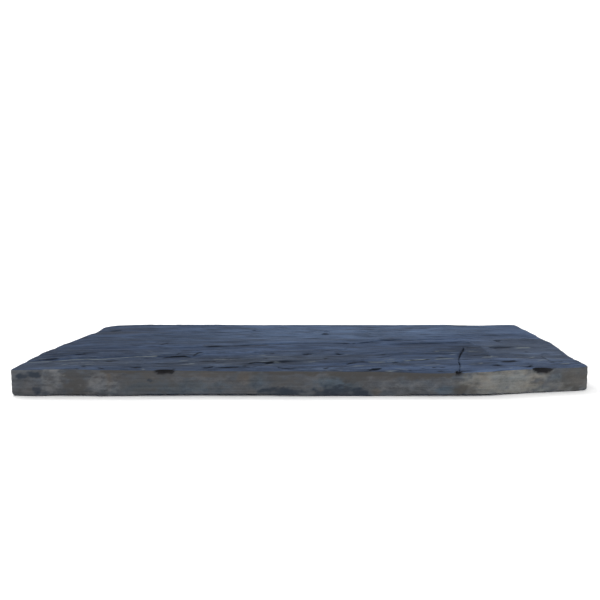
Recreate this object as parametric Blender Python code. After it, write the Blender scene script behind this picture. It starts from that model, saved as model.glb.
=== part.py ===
"""Slate slab: one natural piece of riven slate, about 600 x 300 x 26 mm, with four cut sides.

Frame: metres, +Z up. X runs along the long front side and Y from the front side to the back. The origin is
at the centre of the slab's plan, on the flat that it rests on. Both riven faces are height functions over
the plan: a triangulation that follows the outline and the edges of the layers is lifted to them, and a wall
of rings closes the sides between the two.
"""

import math

import bmesh
import bpy
import numpy as np
from mathutils import Vector
from mathutils.geometry import delaunay_2d_cdt

# Driving dimensions.
THICKNESS = 0.026  # resting flat to riven top, away from any ledge
CORNER_SPACING = 0.007  # step along the outline, and so the size of its rounded corners
FILL_SPACING = 0.016  # step between the loose points of a riven face
LINE_SPACING = 0.008  # step along a ledge, a crack or the rim of a scar
KEEP_CLEAR = 0.006  # least gap between a loose point and any line
RIM_ROUNDING = 0.0014  # wear along the upper rim
FOOT_ROUNDING = 0.0012  # wear along the lower rim
STEP_WIDTH = 0.0009  # how far a ledge's riser leans, in plan
RAGGED = ((0.0009, 1.9, 0.0), (0.0006, 3.1, 1.0))  # stray of a broken edge, turn at each step, start
LEDGE_TAPER = 0.022  # length over which a ledge dies out at each end
SCAR_STEPS = 12  # points round the rim of a scar
SCAR_RINGS = (1.0, 0.5)  # shares of a scar's size that its triangles follow
GRAIN_ANGLE = math.radians(13)  # the layers' edges run from front left to back right

# The plan, anticlockwise from the front left corner. The right end of the front side is set back.
OUTLINE = (
    (-0.3056, -0.1500),
    (0.1775, -0.1500),
    (0.2987, -0.1258),
    (0.2952, -0.0960),
    (0.2975, -0.0560),
    (0.3005, -0.0350),
    (0.3040, -0.0060),
    (0.3048, 0.0120),
    (0.3013, 0.0260),
    (0.3017, 0.0400),
    (0.3035, 0.0560),
    (0.3025, 0.1000),
    (0.3040, 0.1250),
    (0.3030, 0.1520),
    (0.2795, 0.1515),
    (0.2545, 0.1440),
    (0.2225, 0.1425),
    (0.1975, 0.1500),
    (-0.0800, 0.1515),
    (-0.2415, 0.1500),
    (-0.2700, 0.1440),
    (-0.2830, 0.1300),
    (-0.2828, 0.0980),
    (-0.2898, 0.0600),
    (-0.2985, 0.0000),
    (-0.3035, -0.0620),
    (-0.3040, -0.1060),
    (-0.3040, -0.1300),
)
WAVES = ((0.0005, 0.171, 0.4), (0.0003, 0.067, 2.1), (0.0003, 0.031, 5.0))  # height, length, start of each
WALL_LEVELS = ((0.72, 0.0003, 6.5), (0.45, -0.0004, 4.1), (0.20, 0.0002, 1.8))  # height share, bulge, start
WALL_TURN = 0.61  # turn of the wall's wobble at each step along the outline

# Slow swells and dips of the top: centre, radius, lift.
SWELLS = (
    ((-0.250, -0.145), 0.085, 0.0021),
    ((-0.115, -0.150), 0.050, 0.0007),
    ((0.136, -0.152), 0.048, -0.0019),
    ((0.020, 0.160), 0.180, -0.0003),
    ((-0.210, 0.150), 0.090, 0.0006),
    ((0.260, 0.040), 0.080, 0.0005),
    ((0.290, -0.130), 0.030, -0.0009),
)

# Long low waves of the top that run with the grain: lift, length across the grain, length along it, start.
GRAIN_WAVES = (
    (0.00035, 0.062, 0.310, 0.7),
    (0.00025, 0.041, 0.170, 3.9),
    (0.00020, 0.090, 0.120, 1.8),
)

# Ledges, where one layer ends on the one below it: height, how far the extra height lasts behind the edge,
# and the edge itself. The higher side is on the left of its path.
LEDGES = {
    "front_left": (0.0016, 0.060, ((-0.312, -0.110), (-0.286, -0.103), (-0.250, -0.093), (-0.209, -0.082),
                                   (-0.176, -0.077), (-0.155, -0.080), (-0.138, -0.076), (-0.126, -0.074),
                                   (-0.120, -0.064), (-0.104, -0.054))),
    "middle_gap": (0.0020, 0.030, ((-0.074, -0.120), (-0.050, -0.115), (-0.038, -0.106), (-0.022, -0.098),
                                   (0.004, -0.095))),
    "front_right": (0.0013, 0.050, ((0.014, -0.121), (0.035, -0.117), (0.064, -0.110), (0.096, -0.104),
                                    (0.125, -0.093), (0.150, -0.088), (0.172, -0.086))),
    "second_right": (0.0008, 0.030, ((0.080, -0.068), (0.125, -0.060), (0.144, -0.052), (0.178, -0.043))),
    "long_back": (0.0011, 0.080, ((-0.165, -0.031), (-0.124, -0.017), (-0.090, -0.011), (-0.066, -0.002),
                                  (-0.035, 0.004), (0.000, 0.005), (0.060, 0.007), (0.097, 0.023),
                                  (0.133, 0.028), (0.182, 0.036), (0.225, 0.036))),
    "end_sheet": (0.0011, 0.070, ((0.080, -0.002), (0.110, 0.000), (0.150, 0.007), (0.190, 0.012),
                                  (0.203, 0.005), (0.209, -0.014), (0.211, -0.036), (0.210, -0.058),
                                  (0.206, -0.084), (0.198, -0.106))),
    "centre": (0.0007, 0.025, ((-0.076, -0.060), (-0.025, -0.052), (0.005, -0.047), (0.056, -0.031))),
    "left_end": (0.0009, 0.030, ((-0.296, -0.091), (-0.281, -0.082), (-0.262, -0.069), (-0.236, -0.062))),
    "left_back": (0.0007, 0.040, ((-0.256, -0.029), (-0.223, -0.025), (-0.190, -0.022), (-0.160, -0.014))),
    "back_left": (0.0009, 0.050, ((-0.250, 0.052), (-0.200, 0.062), (-0.150, 0.079), (-0.090, 0.088),
                                  (-0.030, 0.108), (0.020, 0.116))),
    "back_right": (0.0008, 0.040, ((0.060, 0.084), (0.120, 0.098), (0.180, 0.104), (0.230, 0.118))),
    "right_shell": (0.0007, 0.020, ((0.270, -0.060), (0.262, -0.082), (0.266, -0.098), (0.286, -0.100))),
}

# The open crack from the front side: width at the top, depth, how far it strays, and its line.
CRACK_WIDTH = 0.0018
CRACK_DEPTH = 0.0040
CRACK_STRAY = 0.35  # the crack keeps closer to its line than a ledge does
CRACK = ((0.1560, -0.1470), (0.1580, -0.1400), (0.1630, -0.1190), (0.1665, -0.0980), (0.1690, -0.0860),
         (0.1765, -0.0610), (0.1830, -0.0440), (0.1880, -0.0270), (0.1915, -0.0120))

# Lens-shaped scars, where a flake has sprung out: centre, half length, half width, depth.
SCARS = (
    ((0.2340, -0.0240), 0.0180, 0.0060, 0.0028),
    ((0.0010, -0.0630), 0.0085, 0.0026, 0.0016),
    ((0.0365, -0.0625), 0.0085, 0.0026, 0.0016),
    ((0.0265, 0.0670), 0.0090, 0.0034, 0.0018),
    ((0.0285, 0.0940), 0.0060, 0.0026, 0.0012),
    ((-0.0710, 0.1000), 0.0045, 0.0040, 0.0012),
    ((0.2410, 0.0190), 0.0070, 0.0036, 0.0012),
    ((0.2030, -0.1180), 0.0080, 0.0030, 0.0012),
    ((0.2345, -0.1270), 0.0075, 0.0028, 0.0014),
    ((-0.1780, -0.1360), 0.0080, 0.0036, 0.0014),
    ((-0.0840, -0.1340), 0.0170, 0.0028, 0.0012),
    ((-0.1040, -0.1350), 0.0080, 0.0030, 0.0014),
    ((0.0690, -0.1405), 0.0110, 0.0040, 0.0016),
    ((-0.2600, 0.0980), 0.0110, 0.0036, 0.0010),
)

# Chips out of the upper rim: centre of each hollow, and its half length, half width and half height.
CHIPS = {
    "chip_left": ((-0.1461, -0.1512, 0.0272), (0.0094, 0.0060, 0.0039)),
    "chip_crack": ((0.1550, -0.1475, 0.0241), (0.0030, 0.0110, 0.0030)),
    "chip_right": ((0.2454, -0.1368, 0.0241), (0.0094, 0.0056, 0.0035)),
}

# Where the lowest layer has come off along a side: centre and half length of the stretch, lift, reach.
UNDER_CHIPS = (
    ((-0.2400, -0.1495), 0.030, 0.0017, 0.012),
    ((-0.0930, -0.1500), 0.100, 0.0024, 0.014),
    ((0.1500, -0.1500), 0.060, 0.0021, 0.012),
    ((0.2450, -0.1370), 0.055, 0.0014, 0.012),
    ((0.1000, 0.1505), 0.120, 0.0020, 0.014),
    ((-0.2930, 0.0300), 0.070, 0.0018, 0.012),
)
WHOLE_LIFT = 0.6  # share of a stretch's half length over which it has its whole lift
INNER_TRIANGLES = 1  # the triangulation's output kind that keeps what lies inside the ring
SAME_POINT = 1e-6  # gap below which the triangulation takes two points as one


def smooth(share):
    """An S-shaped ramp from 0 at share 0 to 1 at share 1."""
    share = np.clip(share, 0.0, 1.0)
    return share * share * (3.0 - 2.0 * share)


def along_path(points, path):
    """Each point's signed distance to a path, positive on its left, and how far along the path it is."""
    path = np.asarray(path, float)
    start, run = path[:-1], np.diff(path, axis=0)
    length = np.hypot(run[:, 0], run[:, 1])
    unit = run / length[:, None]
    offset = points[:, None, :] - start
    reach = np.clip((offset * unit).sum(axis=2), 0.0, length)
    gap = offset - unit * reach[:, :, None]
    distance = np.hypot(gap[:, :, 0], gap[:, :, 1])
    rows, nearest = np.arange(len(points)), distance.argmin(axis=1)
    gap, unit_here = gap[rows, nearest], unit[nearest]
    side = unit_here[:, 0] * gap[:, 1] - unit_here[:, 1] * gap[:, 0]
    passed = np.concatenate(([0.0], np.cumsum(length)[:-1]))[nearest] + reach[rows, nearest]
    return np.copysign(distance[rows, nearest], side), passed


def resampled(path, spacing):
    """Points at an even spacing along a path, its ends included."""
    path = np.asarray(path, float)
    passed = np.concatenate(([0.0], np.cumsum(np.hypot(*np.diff(path, axis=0).T))))
    count = max(2, round(passed[-1] / spacing) + 1)
    at = np.linspace(0.0, passed[-1], count)
    return np.column_stack([np.interp(at, passed, path[:, axis]) for axis in (0, 1)])


def ragged(path, share=1.0):
    """A path in short steps that stray from its line by a share of the uneven beats, its ends apart."""
    points = resampled(path, LINE_SPACING)
    step = np.arange(len(points))
    stray = share * sum(reach * np.sin(turn * step + start) for reach, turn, start in RAGGED)
    stray[[0, -1]] = 0.0
    return points + left_normals(points) * stray[:, None]


def left_normals(path):
    """The unit normal of a path at each of its points, to its left."""
    run = np.gradient(path, axis=0)
    run /= np.hypot(run[:, 0], run[:, 1])[:, None]
    return np.column_stack([-run[:, 1], run[:, 0]])


def outline_ring():
    """The slab's plan as a ring of points: straight runs, softened corners and a slightly wavy cut."""
    ring = resampled((*OUTLINE, OUTLINE[0]), CORNER_SPACING)[:-1]
    ring = (np.roll(ring, 1, axis=0) + 4.0 * ring + np.roll(ring, -1, axis=0)) / 6.0
    run = np.roll(ring, -1, axis=0) - np.roll(ring, 1, axis=0)
    run /= np.hypot(run[:, 0], run[:, 1])[:, None]
    inward = np.column_stack([-run[:, 1], run[:, 0]])
    passed = np.arange(len(ring)) * CORNER_SPACING
    wave = sum(height * np.sin(2.0 * math.pi * passed / length + start) for height, length, start in WAVES)
    ring += inward * wave[:, None]
    return ring - (ring.min(axis=0) + ring.max(axis=0)) / 2.0, inward


def with_grain(offset):
    """Plan offsets turned so that their first part runs along the grain and their second part across it."""
    along = offset[:, 0] * math.cos(GRAIN_ANGLE) + offset[:, 1] * math.sin(GRAIN_ANGLE)
    across = offset[:, 1] * math.cos(GRAIN_ANGLE) - offset[:, 0] * math.sin(GRAIN_ANGLE)
    return along, across


def off_grain(along, across):
    """Plan offsets from their parts along the grain and across it, which undoes the turn of with_grain."""
    x = along * math.cos(GRAIN_ANGLE) - across * math.sin(GRAIN_ANGLE)
    y = along * math.sin(GRAIN_ANGLE) + across * math.cos(GRAIN_ANGLE)
    return np.column_stack([x, y])


def scar_radius(points, centre, half_length, half_width):
    """How far each point is from a scar's centre, where 1 is the scar's rim."""
    along, across = with_grain(points - np.array(centre))
    return np.hypot(along / half_length, across / half_width)


def top_height(points):
    """Height of the riven top at each point of the plan."""
    height = np.full(len(points), THICKNESS)
    along, across = with_grain(points)
    for lift, length_across, length_along, start in GRAIN_WAVES:
        height += lift * np.sin(2.0 * math.pi * (across / length_across + along / length_along) + start)
    for centre, radius, lift in SWELLS:
        away = np.hypot(*(points - np.array(centre)).T)
        height += lift * np.exp(-((away / radius) ** 2))
    for rise, fade, corners in LEDGES.values():
        path = ragged(corners)
        distance, passed = along_path(points, path)
        whole = np.hypot(*np.diff(path, axis=0).T).sum()
        ends = smooth(passed / LEDGE_TAPER) * smooth((whole - passed) / LEDGE_TAPER)
        riser = np.clip(distance / STEP_WIDTH + 0.5, 0.0, 1.0)
        height += rise * ends * riser * np.exp(-np.maximum(distance, 0.0) / fade)
    for centre, half_length, half_width, depth in SCARS:
        radius = np.clip(scar_radius(points, centre, half_length, half_width), 0.0, 1.0)
        height -= depth * (1.0 - radius**2)
    distance, _ = along_path(points, ragged(CRACK, CRACK_STRAY))
    return height - CRACK_DEPTH * np.clip(1.0 - 2.0 * np.abs(distance) / CRACK_WIDTH, 0.0, 1.0)


def under_height(points, ring):
    """Height of the underside: nought on the flat that it rests on, a little more near a chipped side."""
    from_side, _ = along_path(points, np.vstack([ring, ring[:1]]))
    height = np.zeros(len(points))
    for centre, half_length, lift, reach in UNDER_CHIPS:
        away = np.hypot(*(points - np.array(centre)).T)
        fade = (1.0 - WHOLE_LIFT) * half_length + reach
        stretch = 1.0 - smooth((away - WHOLE_LIFT * half_length) / fade)
        height += lift * stretch * np.clip(1.0 - from_side / reach, 0.0, 1.0)
    return height


def feature_lines():
    """The lines that the top's triangles follow: the ledges' edges, the scars' rims and the crack."""
    lines = []
    for _, _, corners in LEDGES.values():
        middle = ragged(corners)
        normals = left_normals(middle)
        lines += [middle + normals * STEP_WIDTH / 2.0, middle - normals * STEP_WIDTH / 2.0]
    middle = ragged(CRACK, CRACK_STRAY)
    lips = (-CRACK_WIDTH / 2.0, 0.0, CRACK_WIDTH / 2.0)
    lines += [middle + left_normals(middle) * offset for offset in lips]
    angle = np.arange(SCAR_STEPS + 1) * 2.0 * math.pi / SCAR_STEPS
    for centre, half_length, half_width, _ in SCARS:
        oval = off_grain(half_length * np.cos(angle), half_width * np.sin(angle))
        lines += [oval * share + np.array(centre) for share in SCAR_RINGS]
    return lines


def clipped(line, ring):
    """The stretches of a line that lie inside the rim by more than a rim's width."""
    inside = along_path(line, np.vstack([ring, ring[:1]]))[0] > 2.0 * RIM_ROUNDING
    runs = np.split(np.arange(len(line)), np.flatnonzero(np.diff(inside.astype(int))) + 1)
    return [line[run] for run in runs if inside[run[0]] and len(run) > 1]


def loose_points(ring, lines):
    """A staggered grid of points inside the ring that keep clear of it and of every line."""
    reach = np.abs(ring).max(axis=0)
    columns = np.arange(-reach[0], reach[0], FILL_SPACING)
    rows = np.arange(-reach[1], reach[1], FILL_SPACING * math.sqrt(0.75))
    x, y = np.meshgrid(columns, rows)
    x[::2] += FILL_SPACING / 2.0
    grid = np.column_stack([x.ravel(), y.ravel()])
    grid = grid[along_path(grid, np.vstack([ring, ring[:1]]))[0] > KEEP_CLEAR]
    for line in lines:
        grid = grid[np.abs(along_path(grid, line)[0]) > KEEP_CLEAR]
    return grid


def triangulated(ring, lines, loose):
    """Triangles inside the ring that follow the lines: points, corners and the ring's own indices."""
    points = np.vstack([ring, *lines, loose])
    edges, first = [], len(ring)
    for line in lines:
        edges += [(first + step, first + step + 1) for step in range(len(line) - 1)]
        first += len(line)
    border = [list(range(len(ring)))]
    made, _, corners, sources, _, _ = delaunay_2d_cdt(
        [Vector(point) for point in points], edges, border, INNER_TRIANGLES, SAME_POINT
    )
    place = {old: new for new, olds in enumerate(sources) for old in olds if old < len(ring)}
    return np.array(made), corners, [place[old] for old in range(len(ring))]


def wall_rings(ring, inward, top, bottom):
    """The rings of the cut side, from just under the upper rim to just above the lower one."""
    upper = top - RIM_ROUNDING
    lower = bottom + FOOT_ROUNDING
    rings = [(ring, upper)]
    for share, bulge, start in WALL_LEVELS:
        wobble = 0.5 + 0.5 * np.sin(WALL_TURN * np.arange(len(ring)) + start)
        rings.append((ring - inward * (bulge * wobble)[:, None], lower + (upper - lower) * share))
    return [*rings, (ring, lower)]


def slab_mesh():
    """The slab without its rim chips, as one closed mesh."""
    ring, inward = outline_ring()
    rim, foot = ring + inward * RIM_ROUNDING, ring + inward * FOOT_ROUNDING
    lines = [piece for line in feature_lines() for piece in clipped(line, rim)]
    mesh = bmesh.new()

    plan, corners, upper_rim = triangulated(rim, lines, loose_points(rim, lines))
    top = [mesh.verts.new((*point, z)) for point, z in zip(plan, top_height(plan))]
    for corner in corners:
        mesh.faces.new([top[i] for i in corner])

    plan, corners, lower_rim = triangulated(foot, [], loose_points(foot, []))
    bottom = [mesh.verts.new((*point, z)) for point, z in zip(plan, under_height(plan, ring))]
    for corner in corners:
        mesh.faces.new([bottom[i] for i in reversed(corner)])

    loops = [[top[i] for i in upper_rim]]
    for place, z in wall_rings(ring, inward, top_height(rim), under_height(foot, ring)):
        loops.append([mesh.verts.new((*point, height)) for point, height in zip(place, z)])
    loops.append([bottom[i] for i in lower_rim])
    for above, below in zip(loops, loops[1:]):
        for here in range(len(ring)):
            ahead = (here + 1) % len(ring)
            mesh.faces.new((above[here], below[here], below[ahead], above[ahead]))

    bmesh.ops.triangulate(mesh, faces=[face for face in mesh.faces if len(face.verts) > 3])
    bmesh.ops.recalc_face_normals(mesh, faces=mesh.faces)
    made = bpy.data.meshes.new("slate_slab")
    mesh.to_mesh(made)
    mesh.free()
    return made


def chip_cutter(name, centre, half_sizes):
    """A ball flattened to a chip's half sizes, which a Boolean takes out of the rim."""
    mesh = bmesh.new()
    bmesh.ops.create_icosphere(mesh, subdivisions=2, radius=1.0)
    bmesh.ops.scale(mesh, vec=half_sizes, verts=mesh.verts)
    made = bpy.data.meshes.new(name)
    mesh.to_mesh(made)
    mesh.free()
    cutter = bpy.data.objects.new(name, made)
    cutter.location = centre
    cutter.hide_render = True
    cutter.display_type = "WIRE"
    bpy.context.scene.collection.objects.link(cutter)
    return cutter


def slate():
    """Blue-grey slate, dull enough that only a grazing light shines on it."""
    material = bpy.data.materials.new("slate")
    material.use_nodes = True
    shader = material.node_tree.nodes["Principled BSDF"]
    shader.inputs["Base Color"].default_value = (0.055, 0.075, 0.120, 1.0)
    shader.inputs["Roughness"].default_value = 0.75
    shader.inputs["Metallic"].default_value = 0.0
    return material


def build():
    for obj in list(bpy.data.objects):
        bpy.data.objects.remove(obj)
    slab = bpy.data.objects.new("slate_slab", slab_mesh())
    slab.data.materials.append(slate())
    bpy.context.scene.collection.objects.link(slab)
    for name, (centre, half_sizes) in CHIPS.items():
        cut = slab.modifiers.new(name, "BOOLEAN")
        cut.operation = "DIFFERENCE"
        cut.solver = "EXACT"
        cut.object = chip_cutter(name, centre, half_sizes)


build()
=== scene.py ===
# %% [markdown]
# # A slab of riven slate
#
# Slate is mud pressed into thin sheets, and it splits where the sheets meet. This slab, about 60 cm long,
# was split above and below and then cut along its four sides. Its top is *riven*: it steps up and down by
# up to a millimetre where a sheet broke off, and the broken edges run nearly parallel, along the grain of
# the stone.
#
# The slab is one stone, so it becomes one closed mesh. The lesson works out its outline first, then the
# height of every point of its top, then its sides and its underside, and paints it last.

# %% Load the solid that the slab has to match
import math

import bpy
import numpy as np
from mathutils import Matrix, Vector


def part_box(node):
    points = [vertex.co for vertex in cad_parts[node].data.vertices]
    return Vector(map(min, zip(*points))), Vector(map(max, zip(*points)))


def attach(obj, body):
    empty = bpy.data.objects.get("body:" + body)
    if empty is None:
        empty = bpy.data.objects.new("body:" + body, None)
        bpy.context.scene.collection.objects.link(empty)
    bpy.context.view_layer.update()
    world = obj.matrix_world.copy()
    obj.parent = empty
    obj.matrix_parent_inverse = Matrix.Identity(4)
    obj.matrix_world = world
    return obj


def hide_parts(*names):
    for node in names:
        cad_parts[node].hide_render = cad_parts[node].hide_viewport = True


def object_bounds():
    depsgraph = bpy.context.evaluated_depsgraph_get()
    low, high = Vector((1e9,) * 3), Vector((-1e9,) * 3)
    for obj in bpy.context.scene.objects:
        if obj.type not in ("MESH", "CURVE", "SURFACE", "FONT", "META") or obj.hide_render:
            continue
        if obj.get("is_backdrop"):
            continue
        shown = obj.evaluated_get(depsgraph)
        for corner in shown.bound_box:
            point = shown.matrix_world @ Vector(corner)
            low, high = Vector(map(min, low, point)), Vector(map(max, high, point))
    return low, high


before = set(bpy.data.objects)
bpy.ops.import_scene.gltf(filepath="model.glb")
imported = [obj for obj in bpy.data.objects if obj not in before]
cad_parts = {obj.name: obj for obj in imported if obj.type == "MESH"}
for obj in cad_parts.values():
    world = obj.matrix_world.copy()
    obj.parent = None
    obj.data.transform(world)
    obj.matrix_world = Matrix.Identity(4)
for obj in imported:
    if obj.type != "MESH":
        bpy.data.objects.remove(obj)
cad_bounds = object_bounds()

low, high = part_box("slate_slab")
print("the solid slab measures", [round(1000 * size, 1) for size in high - low], "mm")

# %% [markdown]
# ## The camera
#
# A pinhole camera is a place, a direction and a lens. This one stands 85 cm in front of the slab's middle
# and only 19 cm up, and looks a little downwards, so that the top is seen as a thin wedge and the front
# side as a band. Blender wants the lens in millimetres on a 36 mm sensor, which is the focal length in
# pixels scaled by the two widths.

# %% Camera
PICTURE_WIDTH = 600  # pixels
FOCAL_LENGTH = 699.1  # pixels
CAMERA_PLACE = (-0.0075, -0.8495, 0.1860)
CAMERA_PITCH = math.radians(7.07)  # below the horizontal

camera = bpy.data.objects.new("camera", bpy.data.cameras.new("camera"))
camera.data.sensor_width = 36.0
camera.data.lens = FOCAL_LENGTH / PICTURE_WIDTH * camera.data.sensor_width
camera.data.clip_start = 0.01
camera.location = CAMERA_PLACE
camera.rotation_euler = (math.pi / 2.0 - CAMERA_PITCH, 0.0, 0.0)
bpy.context.scene.collection.objects.link(camera)
bpy.context.scene.camera = camera
print("lens", round(camera.data.lens, 2), "mm")

# %% [markdown]
# ## Floor and light
#
# A product is often shown on white paper under a white tent. The tent is the world's plain white
# background, which lights the stone from everywhere, and one broad lamp high behind it gives the ledges a
# soft bright and dark side. The Standard view keeps white paper white, where the default one would grey
# it.

# %% Floor, world and lamps
FLOOR_SIZE = 16.0
TENT_BRIGHTNESS = 1.2


def plain_material(name, colour, roughness):
    """A material of one colour and one roughness."""
    material = bpy.data.materials.new(name)
    material.use_nodes = True
    shader = material.node_tree.nodes["Principled BSDF"]
    shader.inputs["Base Color"].default_value = (*colour, 1.0)
    shader.inputs["Roughness"].default_value = roughness
    return material


def soft_lamp(name, place, aim, size, watts):
    """A square lamp at a place, turned so that its -Z axis points at its aim."""
    data = bpy.data.lights.new(name, "AREA")
    data.size, data.energy = size, watts
    lamp = bpy.data.objects.new(name, data)
    lamp.location = place
    away = np.array(aim) - np.array(place)
    tilt = math.acos(-away[2] / np.linalg.norm(away))
    lamp.rotation_euler = (tilt, 0.0, math.atan2(away[1], away[0]) - math.pi / 2.0)
    bpy.context.scene.collection.objects.link(lamp)
    return lamp


paper = bpy.data.meshes.new("floor")
floor_corners = FLOOR_SIZE / 2.0 * np.array([(-1, -1, 0), (1, -1, 0), (1, 1, 0), (-1, 1, 0)])
paper.from_pydata(floor_corners.tolist(), [], [(0, 1, 2, 3)])
paper.materials.append(plain_material("white_paper", (0.96, 0.96, 0.96), 0.9))
floor = bpy.data.objects.new("floor", paper)
floor.location.z = -0.0002
bpy.context.scene.collection.objects.link(floor)
floor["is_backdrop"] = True

world = bpy.data.worlds.new("white_tent")
world.use_nodes = True
world.node_tree.nodes["Background"].inputs["Color"].default_value = (1.0, 1.0, 1.0, 1.0)
world.node_tree.nodes["Background"].inputs["Strength"].default_value = TENT_BRIGHTNESS
bpy.context.scene.world = world
bpy.context.scene.view_settings.view_transform = "Standard"

soft_lamp("key", place=(-0.9, 0.9, 1.5), aim=(0.0, 0.0, 0.0), size=1.0, watts=18.0)
print("floor", FLOOR_SIZE, "m wide")

# %% [markdown]
# ## The outline
#
# The slab's plan is not a rectangle. Its left side leans in towards the back, its back left corner is
# knocked off, and the right fifth of its front side runs back at a slant. Twenty-eight points hold that.
# The cut is then sampled in 7 mm steps, its corners are worn down by a running average, and long low waves
# take the machine's straightness out of it. Last, the ring is sampled finely enough for a smooth mesh.

# %% The outline as a ring of points
CORNER_SPACING = 0.007
FINE_SPACING = 0.001
OUTLINE = np.array((  # in millimetres, turned into metres
    (-305.6, -150), (177.5, -150), (298.7, -125.8), (295.2, -96), (297.5, -56), (300.5, -35), (304, -6),
    (304.8, 12), (301.3, 26), (301.7, 40), (303.5, 56), (302.5, 100), (304, 125), (303, 152),
    (279.5, 151.5), (254.5, 144), (222.5, 142.5), (197.5, 150), (-80, 151.5), (-241.5, 150), (-270, 144),
    (-283, 130), (-282.8, 98), (-289.8, 60), (-298.5, 0), (-303.5, -62), (-304, -106), (-304, -130),
)) / 1000.0
GRID_CORNERS = (0, 2, 13, 20)  # the points of the outline that the top's grid has its corners at
WAVES = ((0.0005, 0.171, 0.4), (0.0003, 0.067, 2.1), (0.0003, 0.031, 5.0))  # height, length, start of each


def resampled(path, spacing=None, count=None):
    """Points at even steps along a path: its length is shared out, and each share is looked up on it."""
    path = np.asarray(path, float)
    passed = np.concatenate(([0.0], np.cumsum(np.hypot(*np.diff(path, axis=0).T))))
    steps = count or max(1, round(passed[-1] / spacing))
    at = np.linspace(0.0, passed[-1], steps + 1)
    return np.column_stack([np.interp(at, passed, path[:, axis]) for axis in (0, 1)])


def ring_inward(ring):
    """Unit normals into an anticlockwise ring: each point's run from neighbour to neighbour, turned left."""
    run = np.roll(ring, -1, axis=0) - np.roll(ring, 1, axis=0)
    run /= np.hypot(run[:, 0], run[:, 1])[:, None]
    return np.column_stack([-run[:, 1], run[:, 0]])


def worn(ring, weight, passes=1):
    """A ring whose points are averaged with their two neighbours, their own place counted weight times."""
    for _ in range(passes):
        ring = (np.roll(ring, 1, axis=0) + weight * ring + np.roll(ring, -1, axis=0)) / (weight + 2.0)
    return ring


def outline_ring():
    """The outline in fine steps: corners worn, waves added along the normals, and centred on the origin."""
    ring = worn(resampled((*OUTLINE, OUTLINE[0]), CORNER_SPACING)[:-1], weight=4.0)
    passed = np.arange(len(ring)) * CORNER_SPACING
    wave = sum(height * np.sin(2.0 * math.pi * passed / length + start) for height, length, start in WAVES)
    ring = ring + ring_inward(ring) * wave[:, None]
    ring -= (ring.min(axis=0) + ring.max(axis=0)) / 2.0
    return worn(resampled((*ring, ring[0]), FINE_SPACING)[:-1], weight=1.0, passes=8)


ring = outline_ring()
print("the outline has", len(ring), "points and spans", np.round(1000 * np.ptp(ring, axis=0), 1), "mm")

# %% [markdown]
# ## Noise
#
# Stone is uneven at every scale. Lattice noise gives each corner of a square lattice a random slope and
# blends the four slopes around a point. Stretching the lattice along the grain turns its round blobs into
# the long streaks of slate. A seed makes each field differ, and makes it the same on each run.

# %% Helpers for lengths, ramps and noise
GRAIN_ANGLE = math.radians(13)  # the layers' edges run from front left to back right
LATTICE = 64


def in_metres(rows, kept=1):
    """Rows of lengths and places in millimetres turned into metres, but for their first few entries."""
    return [(*row[:kept], *(np.array(length) / 1000.0 for length in row[kept:])) for row in rows]


def smooth(share):
    """An S-shaped ramp from 0 at share 0 to 1 at share 1: three times its square less twice its cube."""
    share = np.clip(share, 0.0, 1.0)
    return share * share * (3.0 - 2.0 * share)


def bell(share):
    """A bump, e to the minus share squared: 1 at share 0, and next to nothing by share 2 either way."""
    return np.exp(-(share**2))


def noise(x, y, seed):
    """Lattice noise of about -1 to 1: the corners' slopes times the way to the point, blended by ramps."""
    turn = np.random.default_rng(seed).uniform(0.0, 2.0 * math.pi, (LATTICE, LATTICE))
    column, row = np.floor(x).astype(int), np.floor(y).astype(int)
    right, up = x - column, y - row

    def corner(step_x, step_y):
        angle = turn[(row + step_y) % LATTICE, (column + step_x) % LATTICE]
        return np.cos(angle) * (right - step_x) + np.sin(angle) * (up - step_y)

    blend_x, blend_y = (share**3 * (share * (share * 6.0 - 15.0) + 10.0) for share in (right, up))
    lower = corner(0, 0) + blend_x * (corner(1, 0) - corner(0, 0))
    upper = corner(0, 1) + blend_x * (corner(1, 1) - corner(0, 1))
    return 1.5 * (lower + blend_y * (upper - lower))


def layered(x, y, layers):
    """Noises added up, each given by its weight, its length along x, its width along y, and its seed."""
    return sum(weight * noise(x / length, y / width, seed) for weight, length, width, seed in layers)


def with_grain(points):
    """Plan points as distances along and across the grain: the plan turned back by the grain's angle."""
    along = points[:, 0] * math.cos(GRAIN_ANGLE) + points[:, 1] * math.sin(GRAIN_ANGLE)
    across = points[:, 1] * math.cos(GRAIN_ANGLE) - points[:, 0] * math.sin(GRAIN_ANGLE)
    return along, across


def distance_to(points, place):
    """How far plan points are from a place."""
    return np.hypot(*(points - place).T)


def along_path(points, path):
    """For each point: its distance to a path, above 0 on the left, how far along that is, and the normal."""
    path = np.asarray(path, float)
    start, run = path[:-1], np.diff(path, axis=0)
    length = np.hypot(run[:, 0], run[:, 1])
    unit = run / length[:, None]
    offset = points[:, None, :] - start
    reached = np.clip((offset * unit).sum(axis=2), 0.0, length)
    gap = offset - unit * reached[:, :, None]
    distance = np.hypot(gap[:, :, 0], gap[:, :, 1])
    rows, nearest = np.arange(len(points)), distance.argmin(axis=1)
    gap, unit = gap[rows, nearest], unit[nearest]
    side = np.sign(unit[:, 0] * gap[:, 1] - unit[:, 1] * gap[:, 0])
    distance = distance[rows, nearest]
    passed = np.concatenate(([0.0], np.cumsum(length)[:-1]))[nearest] + reached[rows, nearest]
    normal = side[:, None] * gap / np.maximum(distance, 1e-9)[:, None]
    return side * distance, passed, normal


def path_length(path):
    """The length of a path: the sum of its runs."""
    return np.hypot(*np.diff(np.asarray(path, float), axis=0).T).sum()


def near(points, path, reach):
    """The numbers of the points that are in the box round a path, made wider by the reach on all sides."""
    path = np.asarray(path, float)
    inside = (points > path.min(axis=0) - reach) & (points < path.max(axis=0) + reach)
    return np.flatnonzero(inside.all(axis=1))


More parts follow.
